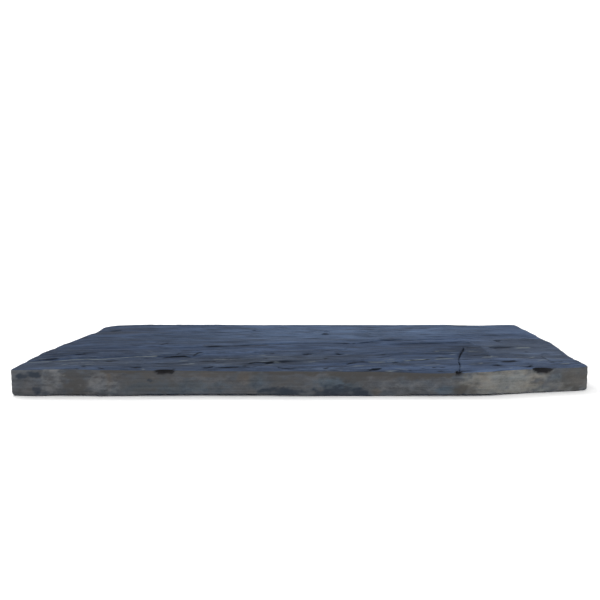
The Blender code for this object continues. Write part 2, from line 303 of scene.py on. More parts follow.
print("noise of", LATTICE, "x", LATTICE, "corners, grain at", round(math.degrees(GRAIN_ANGLE)), "degrees")

# %% [markdown]
# ## Ledges, crack and scars
#
# Each ledge is a line where one sheet of slate ends on the one below it. It is given by its tone, its
# rise, how far back the rise fades out, the groove at its foot where the next sheet gapes, and its path.
# The higher side is on the left of the path. The open crack crosses the grain, and the scars are lens-
# shaped hollows where a flake sprang out.

# %% The relief that has a name
THICKNESS = 0.026
LEDGE_TAPER = 0.022  # length over which a ledge dies out at each end
STEP_WIDTH = 0.0009  # how far a riser leans, in plan
GROOVE_WIDTH = 0.0011

LEDGES = in_metres((  # name, tone behind the edge; in millimetres: rise, its fade, groove, path
    ("front_left", -0.06, 1, 60, 0, (
        (-312, -110), (-286, -103), (-250, -93), (-209, -82), (-176, -77), (-155, -80), (-138, -76),
        (-126, -74), (-120, -64), (-104, -54))),
    ("middle_gap", 0.04, 1.1, 30, 1, (
        (-72, -118), (-50, -115), (-38, -109), (-22, -102), (4, -98))),
    ("front_right", -0.06, 0.6, 50, 0, (
        (14, -118), (35, -115), (64, -109), (96, -105), (125, -96), (150, -92), (172, -90))),
    ("second_right", 0.05, 0.6, 30, 0, (
        (80, -68), (125, -60), (144, -54), (178, -45))),
    ("long_back", 0.1, 0.7, 80, 0.4, (
        (-165, -31), (-124, -20), (-90, -14), (-66, -6), (-35, 1), (0, 3), (60, 5), (97, 20), (133, 25),
        (182, 33), (225, 34))),
    ("end_sheet", 0.3, 0.7, 90, 0, (
        (80, -4), (110, -1), (150, 4), (190, 10), (203, 5), (209, -14), (211, -36), (210, -58), (206, -84),
        (198, -106))),
    ("centre", 0.06, 0.5, 25, 0, (
        (-76, -60), (-25, -52), (5, -47), (56, -31))),
    ("left_end", -0.05, 0.6, 30, 0.4, (
        (-296, -91), (-281, -82), (-262, -71), (-236, -64))),
    ("left_back", 0.08, 0.5, 40, 0, (
        (-256, -29), (-223, -25), (-190, -22), (-160, -14))),
    ("back_left", 0.05, 0.6, 50, 0, (
        (-250, 52), (-200, 62), (-150, 79), (-90, 88), (-30, 108), (20, 116))),
    ("back_right", 0.04, 0.5, 40, 0, (
        (60, 84), (120, 98), (180, 104), (230, 118))),
    ("right_shell", 0.05, 0.5, 20, 0, (
        (270, -60), (262, -82), (266, -98), (286, -100))),
), kept=2)
CRACK_WIDTH, CRACK_DEPTH = 0.0018, 0.0040
CRACK = np.array((
    (156, -150), (158, -140), (163, -119), (166.5, -98), (169, -86), (176.5, -61), (183, -44), (188, -27),
    (191.5, -12),
)) / 1000.0
SCARS = in_metres((  # centre, half length, half width, depth, in millimetres
    ((234, -24), 18, 6, 2.8), ((1, -63), 8.5, 2.6, 1.6), ((36.5, -62.5), 8.5, 2.6, 1.6),
    ((26.5, 67), 9, 3.4, 1.8), ((28.5, 94), 6, 2.6, 1.2), ((-71, 100), 4.5, 4, 1.2),
    ((241, 19), 7, 3.6, 1.2), ((203, -118), 8, 3, 1.2), ((234.5, -127), 7.5, 2.8, 1.4),
    ((-178, -136), 8, 3.6, 1.4), ((-84, -134), 17, 2.8, 1.2), ((-104, -135), 8, 3, 1.4),
    ((69, -140), 7, 2.4, 1.2), ((-260, 98), 11, 3.6, 1),
), kept=0)
SWELLS = in_metres((  # centre, radius, lift, in millimetres
    ((-250, -145), 85, 2.1), ((-115, -150), 50, 0.7), ((136, -152), 48, -1.9), ((20, 160), 180, -0.3),
    ((-210, 150), 90, 0.6), ((260, 40), 80, 0.5), ((290, -130), 30, -0.9),
), kept=0)
STRAYS = (  # noises that push an edge off along X, and those along Y
    ((0.0009, 0.016, 0.016, 14), (0.0004, 0.006, 0.006, 16)),
    ((0.0009, 0.016, 0.016, 15), (0.0004, 0.006, 0.006, 17)),
)
GRAIN_WAVES = (  # lift, length across the grain, length along it, start
    (0.00035, 0.062, 0.310, 0.7),
    (0.00025, 0.041, 0.170, 3.9),
    (0.00020, 0.090, 0.120, 1.8),
)


def strayed(points, reach=1.0):
    """Plan points pushed off by two noises along X and two along Y, which makes straight edges ragged."""
    return points + reach * np.column_stack([layered(*points.T, layers) for layers in STRAYS])


def scar_radius(points, centre, half_length, half_width):
    """How far each point is from the centre of a scar or a patch, where 1 is its rim."""
    along, across = with_grain(points - centre)
    return np.hypot(along / half_length, across / half_width)


print(len(LEDGES), "ledges,", len(SCARS), "scars and a crack of", round(1000 * path_length(CRACK)), "mm")

# %% [markdown]
# ## Small marks
#
# Between the ledges, the top is full of short edges, a centimetre or three long. Dark ones overhang or
# gape, and their dark is painted shade of the gap under the edge. Pale ones are freshly broken, and brown
# ones are stains. Each is a strength and a path, here in millimetres. The dark and pale ones raise the
# stone behind them by up to a third of a millimetre as well, as a thin flake would.

# %% Small marks of the top, in millimetres
# painted shade: these marks are painted dark where the gap under an overhanging edge would be in shadow
SHADE_MARKS = in_metres((
    (0.75, ((-290, -100), (-278, -100), (-269, -97))), (0.75, ((-265, -95), (-258, -90))),
    (0.80, ((-264, -71), (-257, -70), (-247, -70))), (0.50, ((-268, -28), (-247, -26), (-225, -25))),
    (0.60, ((-238, -133), (-229, -134), (-221, -134))), (0.60, ((-193, -104), (-176, -103))),
    (0.50, ((-183, -90), (-171, -88))), (0.90, ((-219, -140), (-212, -144), (-206, -147))),
    (0.90, ((-186, -136), (-180, -137), (-175, -134), (-173, -133))), (0.80, ((-189, 7), (-181, 6))),
    (0.60, ((-230, 73), (-227, 73))), (0.90, ((-138, -149), (-138, -143), (-136, -140))),
    (1.00, ((-162, -88), (-157, -83), (-150, -79), (-140, -76), (-128, -79))),
    (0.90, ((-128, -76), (-126, -66), (-124, -59), (-117, -56))),
    (0.70, ((-148, -74), (-146, -65), (-141, -62))), (0.60, ((-141, -114), (-132, -112), (-124, -114))),
    (0.60, ((-157, -135), (-153, -134))), (0.70, ((-110, -141), (-104, -139), (-101, -133), (-96, -130))),
    (0.75, ((-87, -133), (-80, -132))), (0.75, ((-79, -132), (-70, -133))),
    (1.00, ((-65, -117), (-55, -113), (-43, -111), (-34, -106))), (0.60, ((-34, -106), (-18, -101))),
    (0.70, ((-62, -132), (-57, -134))),
    (0.80, ((-32, -126), (-29, -133), (-25, -136), (-18, -138), (-11, -136))),
    (0.90, ((-53, -144), (-47, -144))), (0.60, ((-105, -79), (-96, -74))),
    (0.60, ((-97, -73), (-87, -72))), (0.55, ((-101, -104), (-94, -101))),
    (0.70, ((-123, -20), (-111, -18), (-90, -16))), (0.55, ((-165, -14), (-146, -15), (-123, -19))),
    (0.55, ((-90, -16), (-69, -8), (-32, -5), (5, 3))), (0.75, ((-181, -12), (-175, -9), (-169, 7))),
    (0.60, ((-176, 37), (-168, 37))), (0.90, ((-73, 102), (-69, 103))), (0.50, ((-151, 78), (-148, 79))),
    (0.50, ((-117, 84), (-113, 86))), (0.60, ((-63, -60), (-54, -57))),
    (0.70, ((-6, -60), (-3, -63), (6, -61))), (0.70, ((30, -60), (34, -60), (43, -63))),
    (0.90, ((20, 67), (26, 71), (32, 70))), (0.75, ((24, 95), (33, 102))), (0.90, ((56, 4), (62, 6))),
    (0.50, ((7, 5), (30, 6), (56, 4))), (0.50, ((62, 6), (78, 12), (94, 7))),
    (0.55, ((95, 19), (119, 22), (140, 19))), (0.45, ((141, 25), (171, 31), (197, 33))),
    (0.50, ((94, -1), (116, 0), (137, 3))), (0.60, ((137, 3), (166, 4), (192, 9))),
    (0.80, ((43, -35), (51, -29))), (0.90, ((217, -24), (234, -25), (251, -24))),
    (0.95, ((89, -106), (93, -108), (101, -105))), (0.65, ((126, -63), (148, -62), (173, -58))),
    (0.50, ((97, -67), (107, -60), (121, -60))), (0.85, ((62, -150), (68, -138), (74, -137), (80, -134))),
    (0.70, ((88, -146), (96, -143), (102, -143))), (0.95, ((102, -140), (110, -142))),
    (0.50, ((-1, -138), (7, -137))), (0.50, ((31, -139), (39, -140))),
    (0.45, ((76, 92), (83, 85), (88, 66))), (0.60, ((188, 10), (198, 10), (206, 2))),
    (0.30, ((208, 2), (209, -12), (211, -30))), (0.25, ((208, -41), (210, -59), (211, -79))),
    (0.65, ((200, -91), (206, -89), (212, -93))), (0.55, ((187, -25), (199, -23), (209, -25))),
    (0.85, ((237, 19), (239, 12), (245, 14))), (0.65, ((256, 23), (262, 24))),
    (0.55, ((272, 28), (283, 35), (289, 33))), (0.80, ((270, -24), (274, -26))),
    (0.90, ((250, -58), (254, -55), (258, -54))), (0.85, ((200, -115), (203, -115), (207, -115))),
    (0.25, ((210, -107), (217, -105))), (0.80, ((232, -126), (236, -124), (241, -121))),
    (0.55, ((265, -71), (264, -86), (264, -101), (268, -107))), (0.60, ((277, -87), (281, -85))),
    (0.50, ((236, -98), (241, -97))), (0.50, ((218, -86), (227, -82))),
    (0.50, ((278, -21), (279, -29), (282, -32))), (0.45, ((170, -123), (177, -123))),
    (0.45, ((308, -33), (294, -52), (291, -71))), (0.60, ((-105, -85), (-101, -82))),
    (0.50, ((-97, -76), (-86, -72))), (0.60, ((-63, -56), (-54, -51))), (0.45, ((-82, -103), (-73, -101))),
    (0.45, ((-124, -103), (-118, -98))),
))
PALE_MARKS = in_metres((
    (0.80, ((-300, -116), (-282, -113), (-270, -108), (-257, -100), (-241, -97), (-222, -97),
            (-210, -88), (-194, -81), (-180, -79), (-165, -78))),
    (0.80, ((-265, -146), (-259, -145))), (0.50, ((-245, -145), (-236, -143))),
    (0.55, ((-142, -101), (-125, -100))), (0.60, ((-144, -84), (-129, -78))),
    (0.45, ((-74, -73), (-62, -73))), (0.60, ((-55, -73), (-43, -72))), (0.50, ((-54, -122), (-35, -116))),
    (0.45, ((-83, 116), (-61, 120))), (0.60, ((63, -108), (74, -108), (88, -107))),
    (0.90, ((104, -102), (113, -97), (139, -91))), (0.85, ((139, -91), (167, -86))),
    (0.65, ((146, -54), (160, -48), (177, -42))), (0.40, ((107, -63), (142, -59))),
    (0.95, ((247, -29), (271, -26))), (0.50, ((215, -40), (224, -41))), (0.45, ((226, -39), (250, -37))),
    (0.45, ((246, 20), (257, 19))),
))
BROWN_MARKS = in_metres((
    (0.55, ((-277, 106), (-250, 107), (-202, 110))), (0.45, ((-129, 124), (-86, 124))),
    (0.60, ((-128, -17), (-90, -15), (-44, -7))), (0.45, ((-44, -7), (5, 2), (55, 7))),
    (0.55, ((-54, -57), (-8, -48), (41, -36))), (0.50, ((58, -32), (100, -27), (152, -19))),
    (0.50, ((54, -70), (95, -66), (153, -62))), (0.40, ((-121, -69), (-84, -78))),
    (0.40, ((-105, -107), (-62, -103))), (0.40, ((14, -108), (68, -109))),
    (0.60, ((189, -22), (201, -25), (210, -30))), (0.60, ((182, -51), (197, -51), (209, -52))),
    (0.55, ((177, -69), (195, -68), (210, -69))), (0.50, ((197, -2), (206, -6))),
))
print(len(SHADE_MARKS), "dark,", len(PALE_MARKS), "pale and", len(BROWN_MARKS), "brown marks")

# %% [markdown]
# ## The height of the top
#
# The height is a sum. The thickness and the slow swells come first. A ledge adds its rise behind its edge,
# through a steep ramp, and lets it fade backwards. Scars and the crack take away. Between them, the
# sheets' own torn edges are terraces: a slow noise stretched along the grain is cut into levels, like a
# map with contour lines, so that flat stretches meet at small ragged steps.

# %% Terraces, torn along the grain
TERRACE_RISE = 0.00032
TERRACE_EDGE = 0.16  # share of a level that its step takes up
GRAIN_BEND = ((0.006, 0.110, 0.050, 21),)  # weight, length along the grain, length across it, and seed
TORN_NOISES = ((1.6, 0.120, 0.022, 22), (0.8, 0.042, 0.009, 23), (0.3, 0.016, 0.005, 24))
RIBS = ((0.00008, 0.030, 0.0036, 25), (0.00005, 0.007, 0.0040, 26))


def torn_level(points):
    """Three noises stretched along the bent grain, added up: a sheet ends at each whole number of it."""
    along, across = with_grain(points)
    return layered(along, across + layered(along, across, GRAIN_BEND), TORN_NOISES)


def step_share(level, edge=TERRACE_EDGE):
    """How far up the step to the next level points are: 0 on the flat, then 0 to 1 over the step."""
    return np.clip((level - np.floor(level) - 1.0 + edge) / edge, 0.0, 1.0)


def terraces(level):
    """A staircase: the whole part of the level, plus an S-shaped ramp up each step."""
    return np.floor(level) + smooth(step_share(level))


def riven(points):
    """Torn sheets: the staircase of the torn level, and a fine ribbing along the grain on top of it."""
    return TERRACE_RISE * terraces(torn_level(points)) + layered(*with_grain(points), RIBS)


print("terraces of", 1000 * TERRACE_RISE, "mm")

# %% The height as a function of the plan
CALM_STRIP = 0.020  # the relief is calmer in a strip along the sides, where the saw held it
CALM_SHARE = 0.60  # share of the relief that is left at the side itself
MARK_RISE, MARK_FADE, MARK_GROOVE, MARK_TAPER = 0.00035, 0.008, 0.0003, 0.005  # a small ledge
MARK_STRAY = 0.5  # a mark keeps closer to its line than a ledge does, and a crack closer still
CRACK_STRAY = 0.4
CRACK_BASE = 0.5  # share of the crack's width that it has all along
CRACK_WIDENINGS = ((0.8, 0.72, 0.20), (1.6, 0.0, 0.09))  # how much wider, where along it, over what share
CRACK_MOUTH = 0.55  # share of the crack's depth that it has at the front side
CRACK_FULL, CRACK_END = 0.4, 0.15  # shares of its way: up to its full depth, and over which it dies out


def behind_edge(distance, fade):
    """0 in front of an edge, 1 just behind it after a steep ramp, and fading further back."""
    return smooth(distance / STEP_WIDTH + 0.5) * np.exp(-np.maximum(distance, 0.0) / fade)


def dying_out(passed, path, taper):
    """1 along a path, and down to 0 at both its ends."""
    return smooth(passed / taper) * smooth((path_length(path) - passed) / taper)


def ledge_step(points, rise, fade, groove, path, taper=LEDGE_TAPER):
    """A ledge: its rise behind its edge, less a narrow groove along the foot."""
    distance, passed, _ = along_path(points, path)
    gap = groove * bell((distance + STEP_WIDTH) / GROOVE_WIDTH)
    return dying_out(passed, path, taper) * (rise * behind_edge(distance, fade) - gap)


def crack_depth(points):
    """The crack: a V that is deepest on its path, and wider at the front side and again further in."""
    distance, passed, _ = along_path(points, CRACK)
    share = passed / path_length(CRACK)
    wider = sum(more * bell((share - middle) / reach) for more, middle, reach in CRACK_WIDENINGS)
    width = CRACK_WIDTH * (CRACK_BASE + wider)
    deeper = CRACK_MOUTH + (1.0 - CRACK_MOUTH) * smooth(share / CRACK_FULL)
    depth = CRACK_DEPTH * smooth((1.0 - share) / CRACK_END) * deeper
    return depth * np.clip(1.0 - 2.0 * np.abs(distance) / width, 0.0, 1.0)


def top_height(points, from_side):
    """Height of the riven top: thickness and swells, plus the relief, less the scars and the crack."""
    along, across = with_grain(points)
    torn, nearly_torn = strayed(points), strayed(points, MARK_STRAY)
    relief = riven(points)
    for lift, length_across, length_along, start in GRAIN_WAVES:
        relief += lift * np.sin(2.0 * math.pi * (across / length_across + along / length_along) + start)
    for _, _, rise, fade, groove, path in LEDGES:
        relief += ledge_step(torn, rise, fade, groove, path)
    for strength, path in (*SHADE_MARKS, *PALE_MARKS):
        here = near(nearly_torn, path, 4.0 * MARK_FADE)
        step = ledge_step(nearly_torn[here], MARK_RISE, MARK_FADE, MARK_GROOVE, path, MARK_TAPER)
        relief[here] += strength * step
    height = THICKNESS + relief * (CALM_SHARE + (1.0 - CALM_SHARE) * smooth(from_side / CALM_STRIP))
    for centre, radius, lift in SWELLS:
        height += lift * bell(distance_to(points, centre) / radius)
    for centre, half_length, half_width, depth in SCARS:
        height -= depth * (1.0 - np.clip(scar_radius(torn, centre, half_length, half_width), 0.0, 1.0) ** 2)
    return height - crack_depth(strayed(points, CRACK_STRAY))


def side_distance(points):
    """How far points are inside the outline."""
    return along_path(points, np.vstack([ring[::8], ring[:1]]))[0]


print("a strip of", 1000 * CALM_STRIP, "mm along the sides is calmer")

# %% [markdown]
# ## A grid that follows the outline
#
# A Coons patch fills any four-sided outline with a grid: it blends the front and back sides, blends the
# left and right sides, and takes away the blend of the four corners that was counted twice. Its cells here
# are about 2 mm by 1.4 mm. A ledge is finer than that, so the points near each line are then drawn towards
# it, which leaves the grid's count alone and puts it where the relief is steep.

# %% The plan of the top
ACROSS, DEEP = 296, 216  # cells along X and along Y
PINCH_REACH = 0.004
PINCH = 0.55  # share of its distance that a point on a line's doorstep loses
HOLD_REACH = 0.006  # within this of a side, points are drawn less and less


def ring_sides(ring):
    """The ring cut at the grid's four corners, each side resampled to its count, all run anticlockwise."""
    at = [int(distance_to(ring, OUTLINE[corner]).argmin()) for corner in GRID_CORNERS]
    ends = [*at[1:], at[0] + len(ring)]
    turns = [np.arange(start, end + 1) % len(ring) for start, end in zip(at, ends)]
    return [resampled(ring[turn], count=count) for turn, count in zip(turns, (ACROSS, DEEP) * 2)]


def coons_patch(front, right, back, left):
    """Front and back blended, plus left and right blended, less the corners blended: the grid's points."""
    back, left = back[::-1], left[::-1]
    u = np.linspace(0.0, 1.0, ACROSS + 1)[None, :, None]
    v = np.linspace(0.0, 1.0, DEEP + 1)[:, None, None]
    ends = (1 - u) * ((1 - v) * front[0] + v * back[0]) + u * ((1 - v) * front[-1] + v * back[-1])
    return (1 - v) * front[None] + v * back[None] + (1 - u) * left[:, None] + u * right[:, None] - ends


def drawn_to(points, path, hold, stray):
    """Points drawn to a path by a share of their distance that falls off as a bell, and held near sides."""
    here = near(points, path, 3.0 * PINCH_REACH)
    distance, _, normal = along_path(strayed(points[here], stray), path)
    pull = PINCH * distance * bell(distance / PINCH_REACH) * hold[here]
    points = points.copy()
    points[here] -= normal * pull[:, None]
    return points


def cell_areas(plan):
    """The signed area of each grid cell, from its two diagonals."""
    one, other = plan[1:, 1:] - plan[:-1, :-1], plan[1:, :-1] - plan[:-1, 1:]
    return (one[..., 0] * other[..., 1] - one[..., 1] * other[..., 0]) / 2.0


sides = ring_sides(ring)
wall_ring = np.vstack([side[:-1] for side in sides])
print("the ring has", len(wall_ring), "points for", ACROSS, "x", DEEP, "cells")

# %% [markdown]
# ## The cut sides
#
# The sides were cut across the layers, so they are flat and dull, and only their edges are worn. The upper
# edge, or arris, has crumbled by a millimetre or two. The wall is a profile carried round the ring: it
# starts inside the ring on the top, rounds the arris, goes down with a faint ribbing where the layers end,
# and rounds the foot, most of all at the two front corners.

# %% Arris, wall and foot as rings
ARRIS = 0.0009  # usual wear of the upper edge
ARRIS_CRUMBLE = 0.0013  # how much more the worst places have lost
FOOT = 0.0006
FOOT_CORNERS = ((0, 0.0032), (ACROSS, 0.0012))  # how much more the foot is rounded at the front corners
CORNER_REACH = 0.009
ARRIS_START = 0.1  # value of the first noise from which the arris has crumbled
ARRIS_NOISE, ARRIS_BITS = ((1.4, 0.018, 0.900, 31),), ((0.0003, 0.0065, 0.900, 32),)
WALL_NOISES = (  # ribs where layers end, and the saw's slight wander: weight, way round, height, seed
    (0.00022, 0.045, 0.0032, 33), (0.00010, 0.008, 0.0060, 34), (0.00030, 0.060, 0.0300, 35)
)
EDGE_SHARES = (0.13, 0.3, 0.55, 1.0)  # steps down the rounding of the arris, and up that of the foot
WALL_ROWS = 14  # rows between the arris and the foot

inward = ring_inward(wall_ring)
around = np.concatenate(([0.0], np.cumsum(np.hypot(*np.diff(wall_ring, axis=0).T))))
arris = ARRIS + ARRIS_CRUMBLE * smooth(layered(around, around, ARRIS_NOISE) - ARRIS_START)
arris = arris + layered(around, around, ARRIS_BITS)
rim = wall_ring + inward * arris[:, None]
foot = FOOT + sum(
    more * bell(distance_to(wall_ring, wall_ring[at]) / CORNER_REACH) for at, more in FOOT_CORNERS
)
print("the arris is worn by", round(1000 * arris.min(), 2), "to", round(1000 * arris.max(), 2), "mm")


def quarter_inset(share):
    """How far inside its wall a rounded edge is at a share of its way down, as a share of its radius."""
    return 1.0 - np.sqrt(1.0 - (1.0 - share) ** 2)


# %% [markdown]
# ## The underside
#
# The slab rests on the middle of its underside. Along some stretches of the sides, the lowest sheet has
# come off, so that the foot of the wall stands up to two millimetres clear of the ground and lets a thin
# shadow in.

# %% The height of the underside
UNDER_CHIPS = in_metres((  # centre of the stretch, half its length, lift, reach inwards, in millimetres
    ((-240, -149.5), 30, 1.7, 5), ((-93, -150), 100, 2.4, 6), ((150, -150), 60, 2.1, 5),
    ((235, -139), 45, 1.4, 5), ((100, 150.5), 120, 2, 6), ((-293, 30), 70, 1.8, 5),
), kept=0)
UNDER_RISE = 0.0004
UNDER_STRIP, UNDER_RIM = 0.012, 0.3  # strip in which the terraces begin, and share of it that stays flat
UNDER_NOISES = ((1.3, 0.090, 0.020, 41), (0.5, 0.035, 0.012, 42))
UNDER_CORE = 0.6  # share of a chipped stretch's half length that has its full lift


def under_height(points):
    """Nought on the flat, a chipped stretch's lift near its side, and terraces that only reach upwards."""
    from_side = side_distance(points)
    level = layered(*with_grain(points * (1.0, -1.0)), UNDER_NOISES)
    height = UNDER_RISE * np.maximum(terraces(level), 0.0) * smooth(from_side / UNDER_STRIP - UNDER_RIM)
    for centre, half_length, lift, reach in UNDER_CHIPS:
        past_core = distance_to(points, centre) - UNDER_CORE * half_length
        stretch = 1.0 - smooth(past_core / ((1.0 - UNDER_CORE) * half_length + reach))
        height += lift * stretch * np.clip(1.0 - from_side / reach, 0.0, 1.0)
    return height


foot_ring = wall_ring + inward * foot[:, None]
foot_height = under_height(foot_ring)
print("the foot of the wall is up to", round(1000 * foot_height.max(), 1), "mm off the ground")

# %% [markdown]
# ## Tints of the top
#
# Where a sheet ends, the stone behind the edge is a little lighter or darker than in front of it. The
# small edges get painted shade where they overhang, and the scars and the crack get painted shade inside.
# The torn edges of the terraces get painted shade or are pale, by the sign of a noise, and freshly broken
# edges are pale. Iron has browned some stretches along the grain. Each kind of tint becomes a share from 0
# to 1 at each point, which the material makes ragged later.

# %% Tints of the top
SHADE_WIDTH, PALE_WIDTH, BROWN_WIDTH = 0.0014, 0.0014, 0.0055  # half widths of the marks' tints; the dark marks' tint is painted shade
SHADE_HALO, HALO_REACH = 0.30, 4.0  # share of a dark mark's painted shade that spreads round it, over so many half widths
MARK_END = 0.008  # stretch over which a mark's tint thins out at each end
MARK_BLUNT = 0.3  # how far along that a mark's very end already is
TINT_EDGE = 0.34  # share of a level that the tint of its torn edge takes up
TINT_SIGN = ((2.5, 0.040, 0.012, 27),)  # the noise that gives a torn edge painted shade or makes it pale
BACK_TINT, FRONT_TINT = 0.6, 0.9  # strength of the torn edges' tints at the back, and how much more in front
FRONT_START, FRONT_REACH = -0.020, 0.060  # from which Y forwards they grow stronger, and over what length
CRACK_SHADE_DEPTH = 0.0015  # how deep the crack is where its painted shade is full
SCAR_SHADE, SCAR_CORE = 0.9, 0.55  # how strong the painted shade in a scar is, and up to what share of its radius
PATCH_CORE = 0.35  # share of a patch's radius inside which it has its full strength
LEVEL_TONE, LEVEL_TURN = 0.09, 2.4  # how much the terraces' tones differ, and the turn from one to the next
BROAD_TONES = in_metres((  # how much lighter; in millimetres: centre, radius
    (-0.28, (-300, 0), 200), (-0.22, (-20, -142), 130), (0.15, (-40, -50), 90), (-0.12, (125, -30), 70),
    (0.12, (135, -126), 40), (-0.08, (-240, -60), 70), (-0.08, (-130, -120), 50), (-0.16, (-120, 60), 80),
    (0.14, (190, -128), 60), (0.24, (250, -130), 80), (-0.38, (190, -42), 36), (0.12, (-30, 100), 70),
    (-0.08, (190, 60), 70),
))
PATCHES = {  # for each kind: strength; in millimetres: centre, half length, half width
    # painted sheen: the top is washed lighter and bluer towards its back
    "back": in_metres(((1.0, (80, 100), 330, 85),)),
    "grey": in_metres((
        (0.6, (262, -40), 70, 85), (0.7, (-60, -100), 140, 32), (0.7, (-230, -120), 90, 20),
    )),
}


def line_tint(torn, marks, half_width, halo=0.0):
    """The strongest of a kind's marks at each point: a bell across each, narrower towards its ends."""
    tint = np.zeros(len(torn))
    for strength, path in marks:
        here = near(torn, path, 2.0 * HALO_REACH * half_width)
        distance, passed, _ = along_path(torn[here], path)
        ends = smooth(MARK_BLUNT + passed / MARK_END)
        ends *= smooth(MARK_BLUNT + (path_length(path) - passed) / MARK_END)
        across = bell(distance / (half_width * (0.5 + 0.5 * ends)))
        spread = halo * bell(distance / (HALO_REACH * half_width))
        tint[here] = np.maximum(tint[here], strength * ends * np.maximum(across, spread))
    return tint


def patch_tint(torn, kind):
    """The strongest of a kind's patches at each point, with soft rims."""
    tint = np.zeros(len(torn))
    for strength, *patch in PATCHES[kind]:
        tint = np.maximum(tint, strength * (1.0 - smooth(scar_radius(torn, *patch) - PATCH_CORE)))
    return tint


def gap_shade(points, torn):
    """Painted shade in the scars and the crack: how deep in one each point of the plan is, from 0 to 1."""
    share = smooth(crack_depth(strayed(points, CRACK_STRAY)) / CRACK_SHADE_DEPTH)
    for *scar, _ in SCARS:
        past_core = (scar_radius(torn, *scar) - SCAR_CORE) / (1.0 - SCAR_CORE)
        share = np.maximum(share, SCAR_SHADE * (1.0 - smooth(past_core)))
    return share


def torn_edge_shade_and_pale(points):
    """A hump over each terrace's step times a slow noise, stronger in front: painted shade above 0, pale
    below.
    """
    rising = step_share(torn_level(points), TINT_EDGE)
    strength = BACK_TINT + FRONT_TINT * smooth((FRONT_START - points[:, 1]) / FRONT_REACH)
    sign = np.clip(layered(*with_grain(points), TINT_SIGN), -1.0, 1.0)
    return 4.0 * rising * (1.0 - rising) * strength * sign


def sheet_tone(torn, level):
    """How light a sheet is: 1, plus a wave of the level, bells for the broad tones, and ledges' tones."""
    tone = 1.0 + LEVEL_TONE * np.sin(LEVEL_TURN * terraces(level))
    for change, centre, radius in BROAD_TONES:
        tone += change * bell(distance_to(torn, centre) / radius)
    for _, change, _, fade, _, path in LEDGES:
        distance, passed, _ = along_path(torn, path)
        tone += change * dying_out(passed, path, LEDGE_TAPER) * behind_edge(distance, fade)
    return tone


print("tints of", 2000 * SHADE_WIDTH, "mm,", 2000 * PALE_WIDTH, "mm and", 2000 * BROWN_WIDTH, "mm across")

# %% [markdown]
# ## Chips
#
# Three pieces have broken out of the front arris, one of them where the crack comes out. A chip is a lens,
# a ball squashed to three different sizes. Each point of the stone inside the lens goes straight back to
# its skin, which hollows the mesh without cutting it. The hollows are painted near black later, as painted
# shade.

# %% Chips in the arris
CHIPS = in_metres((  # centre, half sizes, in millimetres
    ((-146.2, -151.2, 26.4), (10.2, 6, 3.8)),
    ((155, -149.5, 24.1), (3, 7.5, 3)),
    ((245.4, -136.8, 24.6), (10.6, 5.6, 3.7)),
), kept=0)
LENS_POWERS = (2.4, 2.0, 1.8)  # powers of the three parts of the way, all 2 for a ball
CHIP_SKIN, CHIP_FADE = 0.95, 0.30  # where a chip's painted shade starts to fade, and over how much of the way
CHIP_RELIEF = 0.02  # share of a point's way that is left, so that no two points meet on the skin


def lens_share(points, centre, half_sizes):
    """How far points are from a chip's centre, where 1 is its skin: the powers of their way added up."""
    return (np.abs((points - centre) / half_sizes) ** LENS_POWERS).sum(axis=1)


def pressed_in(points):
    """Points inside a chip's lens moved straight back, along Y, nearly all the way to its skin."""
    points = points.copy()
    for centre, half_sizes in CHIPS:
        inside = lens_share(points, centre, half_sizes) < 1.0
        flat = half_sizes * (1.0, np.inf, 1.0)
        skin = centre[1] + half_sizes[1] * np.sqrt(1.0 - lens_share(points[inside], centre, flat))
        points[inside, 1] = skin + CHIP_RELIEF * (points[inside, 1] - skin)
    return points


print(len(CHIPS), "chips")

# %% [markdown]
# ## Putting the slab together
#
# The points are numbered once: the top's grid row by row, then the wall's rings from top to bottom, then a
# lattice for the underside, which nobody looks at closely and which has one cell for eight of the top's.
# The grid's border is the wall's first ring, and the last ring is the border of the underside, so the mesh
# has no seam.

# %% The top's grid, drawn to its lines
def four_sides(ring):
    """The wall's ring cut at the grid's corners, each side with the next one's first point added."""
    starts = np.cumsum([0, ACROSS, DEEP, ACROSS])
    closed = np.vstack([ring, ring[:1]])
    return [closed[start:start + cells + 1] for start, cells in zip(starts, (ACROSS, DEEP) * 2)]


plan = coons_patch(*four_sides(rim)).reshape(-1, 2)
hold = smooth(side_distance(plan) / HOLD_REACH)
lines = [(path, 1.0) for *_, path in LEDGES]
lines += [(path, MARK_STRAY) for _, path in (*SHADE_MARKS, *PALE_MARKS)]
for path, stray in (*lines, (CRACK, CRACK_STRAY)):
    plan = drawn_to(plan, path, hold, stray)
areas = cell_areas(plan.reshape(DEEP + 1, ACROSS + 1, 2))
print("cells of", round(1e6 * areas.min(), 2), "to", round(1e6 * areas.max(), 2), "square mm")

top = np.column_stack([plan, top_height(plan, side_distance(plan))])
grid = np.arange(len(top)).reshape(DEEP + 1, ACROSS + 1)
border = np.concatenate([grid[0, :-1], grid[:-1, -1], grid[-1, :0:-1], grid[:0:-1, 0]])
rim_height = top[border, 2]

# %% The wall's rings, from just under the rim to the foot
rows = [(arris * quarter_inset(share), rim_height - arris * share, share) for share in EDGE_SHARES]
for share in np.linspace(0.0, 1.0, WALL_ROWS + 2)[1:-1]:
    rows.append((0.0 * arris, (rim_height - arris) * (1.0 - share) + (foot_height + foot) * share, 1.0))
for share in EDGE_SHARES[::-1]:
    rows.append((foot * quarter_inset(share), foot_height + foot * share, share))
rows.append((foot, foot_height, 0.0))


def wall_row(inset, level, share):
    """A ring of the wall: the ring of points set in by an inset, and by a share of the wall's own relief."""
    inset = inset + share * layered(around, level, WALL_NOISES)
    return np.column_stack([wall_ring + inward * inset[:, None], level])


wall = np.vstack([wall_row(*row) for row in rows])
wall_index = len(top) + np.arange(len(wall)).reshape(len(rows), -1)
loops = np.vstack([border, wall_index])
print("the wall has", len(loops), "rings of", len(wall_ring), "points")

